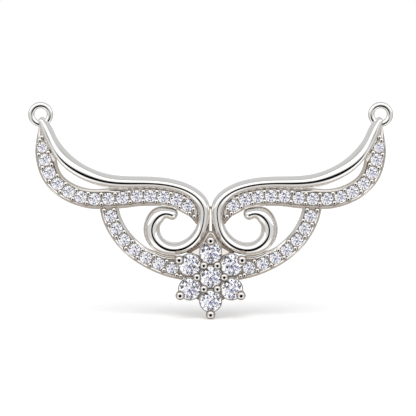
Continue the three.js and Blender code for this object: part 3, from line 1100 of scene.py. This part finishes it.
class PENDANT_OT_stage(bpy.types.Operator):
    """A pale floor, soft studio surroundings and the camera."""

    bl_idname = "pendant.stage"
    bl_label = "Stage"

    def execute(self, context):
        scene = context.scene
        self.floor(scene)
        self.surroundings(scene)
        self.key_light(scene)
        self.camera(scene)
        return {"FINISHED"}

    def floor(self, scene):
        """A flat grid just under the pendant, which mirrors and stones don't see."""
        lines = FLOOR["lines"]
        span = np.linspace(-FLOOR["reach"], FLOOR["reach"], lines)
        x, y = np.meshgrid(span, span, indexing="ij")
        points = np.stack([x, y, np.full_like(x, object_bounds()[0][2] - FLOOR["gap"])], -1).reshape(-1, 3)
        faces = grid_faces(np.arange(lines * lines).reshape(lines, lines))
        mesh = bpy.data.meshes.new("floor")
        mesh.from_pydata(points.tolist(), [], faces.tolist())
        mesh.materials.append(finished(floor_paint))
        floor = bpy.data.objects.new("floor", mesh)
        scene.collection.objects.link(floor)
        floor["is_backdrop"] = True
        floor.visible_glossy = False
        floor.visible_transmission = False

    def surroundings(self, scene):
        """Studio surroundings, laid out by the surface normal that mirrors each direction into the camera.

        The half vector between a direction and the camera's has two coordinates, right and up. A pale grey
        tent holds a white panel above, a paler one below, a dark spot under the camera and a warm floor.
        Stones see a broken pattern of panels, and the camera plain white.
        """
        world = bpy.data.worlds.new("studio")
        scene.world = world
        tree = Tree(world)
        sine, cosine = math.sin(CAMERA["rise"]), math.cos(CAMERA["rise"])
        way = tree.node("ShaderNodeTexCoord", output="Generated")
        summed = tree.node("ShaderNodeVectorMath", {"operation": "ADD"}, {0: way, 1: (0.0, -cosine, sine)})
        half = tree.node("ShaderNodeVectorMath", {"operation": "NORMALIZE"}, {0: summed})

        def part(axis):
            return tree.node(
                "ShaderNodeVectorMath", {"operation": "DOT_PRODUCT"}, {0: half, 1: axis}, output="Value")

        def step(value, low, high):
            return tree.node("ShaderNodeMapRange", {"interpolation_type": "SMOOTHSTEP"}, {
                "Value": value, "From Min": low, "From Max": high, "To Min": 0.0, "To Max": 1.0})

        def mix(share, first, second):
            return tree.node(
                "ShaderNodeMix", {"data_type": "RGBA"}, {0: share, 6: first, 7: second}, output=2)

        def patch(bottom, top, sideways, end):
            return step(up, *bottom) * (1.0 - step(up, *top)) * (1.0 - step(sideways, *end))

        right = part((1.0, 0.0, 0.0)).math("ABSOLUTE")
        up = part((0.0, sine, cosine))
        tent = mix(step(up, -0.95, -0.7), STUDIO["far_floor"], STUDIO["floor"])
        tent = mix(step(up, -0.55, -0.45), tent, STUDIO["wall"])
        tent = mix(step(up, 0.0, 0.3), tent, STUDIO["roof"])
        tent = mix(patch((-0.54, -0.44), (0.0, 0.3), right, (0.38, 0.55)), tent, STUDIO["front"])
        low_panel = patch((-0.52, -0.46), (-0.27, -0.22), right, (0.36, 0.46))
        tent = mix(low_panel, tent, STUDIO["low_panel"])
        tent = mix(low_panel * step(right, 0.09, 0.15), tent, STUDIO["low_panel_sides"])
        tent = mix(patch((0.30, 0.32), (0.37, 0.43), right, (0.4, 0.6)), tent, STUDIO["panel_frame"])
        tent = mix(patch((0.0, 0.03), (0.28, 0.31), right + up * 0.9, (0.46, 0.64)), tent, STUDIO["panel"])
        spot = (right / 0.14) ** 2.0 + ((up + 0.2) / 0.14) ** 2.0
        tent = mix(1.0 - step(spot, 0.8, 1.15), tent, STUDIO["camera_spot"])
        cells = tree.node(
            "ShaderNodeTexVoronoi", {"feature": "F1"}, {"Vector": way, "Scale": 3.0}, output="Color")
        chance = tree.node("ShaderNodeSeparateXYZ", {}, {"Vector": cells}, output="X") - SPARKLE_SHIFT
        panels = tree.node(
            "ShaderNodeValToRGB", {"interpolation": "CONSTANT", "stops": SPARKLE}, {"Fac": chance})
        by_camera = tree.node("ShaderNodeLightPath", output="Is Camera Ray")
        by_stones = tree.node("ShaderNodeLightPath", output="Is Transmission Ray")
        mirrored = tree.node("ShaderNodeBackground", {}, {"Color": tent, "Strength": 1.0})
        sparkle = tree.node("ShaderNodeBackground", {}, {"Color": panels, "Strength": SPARKLE_STRENGTH})
        plain = tree.node("ShaderNodeBackground", {}, {"Color": (1.0, 1.0, 1.0, 1.0), "Strength": 1.0})
        light = tree.node("ShaderNodeMixShader", {}, {0: by_stones, 1: mirrored, 2: sparkle})
        light = tree.node("ShaderNodeMixShader", {}, {0: by_camera, 1: light, 2: plain})
        tree.node("ShaderNodeOutputWorld", {}, {"Surface": light})
        scene.view_settings.view_transform = "Standard"
        scene.view_settings.look = "None"

    def key_light(self, scene):
        """A broad lamp above the camera that casts the soft shadow, unseen by mirrors and stones."""
        data = bpy.data.lights.new("key", "SUN")
        data.energy = KEY["energy"]
        data.angle = KEY["angle"]
        lamp = bpy.data.objects.new("key", data)
        lamp.rotation_euler = (KEY["tilt"], 0.0, 0.0)
        lamp.visible_glossy = False
        lamp.visible_transmission = False
        scene.collection.objects.link(lamp)

    def camera(self, scene):
        """A long lens from a little above: focal length is the sensor's width times distance over field."""
        rise, distance = CAMERA["rise"], CAMERA["distance"]
        back = np.array((0.0, -math.cos(rise), math.sin(rise)))
        data = bpy.data.cameras.new("camera")
        data.sensor_width = SENSOR
        data.lens = SENSOR * distance / CAMERA["across"]
        data.clip_start, data.clip_end = 0.01, 20.0
        camera = bpy.data.objects.new("camera", data)
        camera.location = (np.array(CAMERA["aim"]) + back * distance) * MM
        camera.rotation_euler = (math.pi / 2 - rise, 0.0, 0.0)
        scene.collection.objects.link(camera)
        scene.camera = camera


class PENDANT_PT_panel(bpy.types.Panel):
    """Lists the pendant's sizes, colours and making steps."""

    bl_idname = "PENDANT_PT_panel"
    bl_label = "Pendant"
    bl_space_type = "VIEW_3D"
    bl_region_type = "UI"
    bl_category = "Pendant"

    def draw(self, context):
        for group in (context.scene.pendant_sizes, context.scene.pendant_finish):
            for name in group.__annotations__:
                self.layout.prop(group, name)
        for operator in OPERATORS:
            self.layout.operator(operator.bl_idname)


OPERATORS = (
    PENDANT_OT_scroll_wires,
    PENDANT_OT_stone_plates,
    PENDANT_OT_grains,
    PENDANT_OT_flower_setting,
    PENDANT_OT_bridge,
    PENDANT_OT_chain_loops,
    PENDANT_OT_stones,
    PENDANT_OT_stage,
)
CLASSES = (PendantSizes, PendantFinish, *OPERATORS, PENDANT_PT_panel)


def register():
    for cls in CLASSES:
        bpy.utils.register_class(cls)
    bpy.types.Scene.pendant_sizes = bpy.props.PointerProperty(type=PendantSizes)
    bpy.types.Scene.pendant_finish = bpy.props.PointerProperty(type=PendantFinish)


def unregister():
    del bpy.types.Scene.pendant_finish
    del bpy.types.Scene.pendant_sizes
    for cls in reversed(CLASSES):
        bpy.utils.unregister_class(cls)


def main():
    register()
    for operator in OPERATORS:
        group, name = operator.bl_idname.split(".")
        getattr(getattr(bpy.ops, group), name)()


if __name__ == "__main__":
    main()
